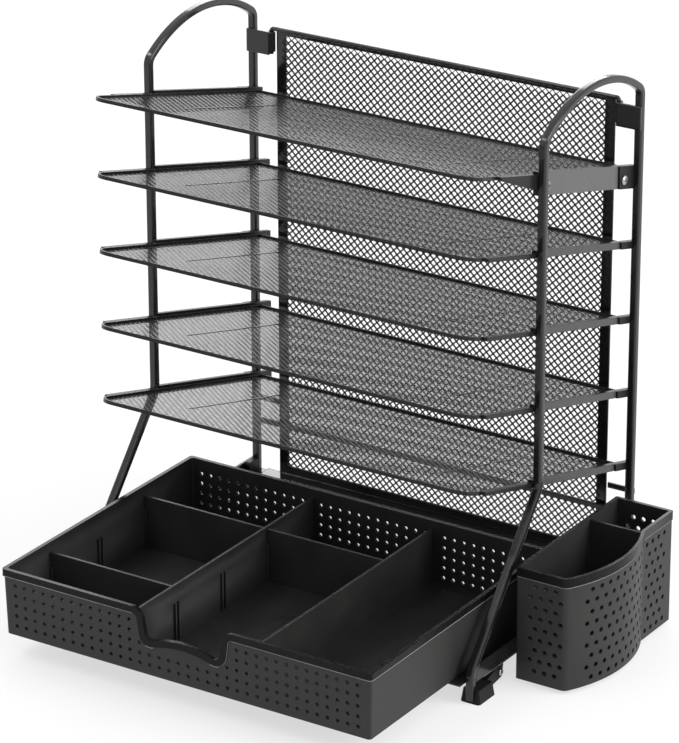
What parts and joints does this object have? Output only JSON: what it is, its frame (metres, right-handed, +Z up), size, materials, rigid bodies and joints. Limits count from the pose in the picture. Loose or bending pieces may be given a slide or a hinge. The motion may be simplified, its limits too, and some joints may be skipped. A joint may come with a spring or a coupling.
{
  "type": "desk file organizer",
  "caption": "Desk file organizer with sloping mesh trays between bent bar frames, a divided sliding drawer, a lift-off mesh back and a hanging pen holder.",
  "frame": {"origin": "on the desk under the middle of the whole outline, with the drawer drawn out as stored", "axes": "+X to the right seen from the front, +Y towards the back, +Z up"},
  "size_m": [0.3958, 0.344, 0.4053],
  "materials": {
    "coated_steel": "semi-gloss black powder coat",
    "rail_steel": "satin grey",
    "mesh_steel": "black powder coat on expanded metal",
    "drawer_plastic": "fine-textured matte black",
    "foot_plastic": "matte black",
    "screw_steel": "bright zinc"
  },
  "bodies": {
    "organizer_frame": {"side_frame_left": "coated_steel", "side_frame_right": "coated_steel", "tray_rim_1": "coated_steel", "tray_rim_2": "coated_steel", "tray_rim_3": "coated_steel", "tray_rim_4": "coated_steel", "tray_rim_5": "coated_steel", "tray_mesh_1": "mesh_steel", "tray_mesh_2": "mesh_steel", "tray_mesh_3": "mesh_steel", "tray_mesh_4": "mesh_steel", "tray_mesh_5": "mesh_steel", "tray_rail_left_1": "rail_steel", "tray_rail_left_2": "rail_steel", "tray_rail_left_3": "rail_steel", "tray_rail_left_4": "rail_steel", "tray_rail_left_5": "rail_steel", "tray_rail_right_1": "rail_steel", "tray_rail_right_2": "rail_steel", "tray_rail_right_3": "rail_steel", "tray_rail_right_4": "rail_steel", "tray_rail_right_5": "rail_steel", "rail_screws": "screw_steel", "rail_spacer_left": "foot_plastic", "rail_spacer_right": "foot_plastic", "rail_end_cap_left_2": "foot_plastic", "rail_end_cap_left_3": "foot_plastic", "rail_end_cap_left_4": "foot_plastic", "rail_end_cap_left_5": "foot_plastic", "rail_end_cap_right_2": "foot_plastic", "rail_end_cap_right_3": "foot_plastic", "rail_end_cap_right_4": "foot_plastic", "rail_end_cap_right_5": "foot_plastic", "drawer_runner_left": "coated_steel", "drawer_runner_right": "coated_steel", "runner_clip_left": "foot_plastic", "runner_clip_right": "foot_plastic", "rear_stretcher": "coated_steel", "panel_socket_left": "coated_steel", "panel_socket_right": "coated_steel", "panel_clip_left": "coated_steel", "panel_clip_right": "coated_steel", "foot_front_left": "foot_plastic", "foot_front_right": "foot_plastic", "foot_rear_left": "foot_plastic", "foot_rear_right": "foot_plastic", "foot_screws": "screw_steel"},
    "drawer": {"drawer_tray": "drawer_plastic"},
    "divider_left_front": {"drawer_divider_left_front": "drawer_plastic"},
    "divider_left_back": {"drawer_divider_left_back": "drawer_plastic"},
    "divider_middle": {"drawer_divider_middle": "drawer_plastic"},
    "back_panel": {"back_panel_frame": "coated_steel", "back_panel_mesh": "mesh_steel"},
    "pen_cup": {"pen_holder": "drawer_plastic"}
  },
  "joints": [
    {"name": "drawer_slide", "type": "slide", "parent": "organizer_frame", "child": "drawer", "axis": [0, -1, 0], "range_m": [-0.0845, 0.06]},
    {"name": "divider_left_front_lift", "type": "slide", "parent": "drawer", "child": "divider_left_front", "axis": [0, 0, 1], "range_m": [0, 0.034]},
    {"name": "divider_left_back_lift", "type": "slide", "parent": "drawer", "child": "divider_left_back", "axis": [0, 0, 1], "range_m": [0, 0.034]},
    {"name": "divider_middle_lift", "type": "slide", "parent": "drawer", "child": "divider_middle", "axis": [0, 0, 1], "range_m": [0, 0.034]},
    {"name": "back_panel_lift", "type": "slide", "parent": "organizer_frame", "child": "back_panel", "axis": [0, 0, 1], "range_m": [0, 0.025]},
    {"name": "pen_holder_lift", "type": "slide", "parent": "organizer_frame", "child": "pen_cup", "axis": [0, 0, 1], "range_m": [0, 0.03]}
  ]
}
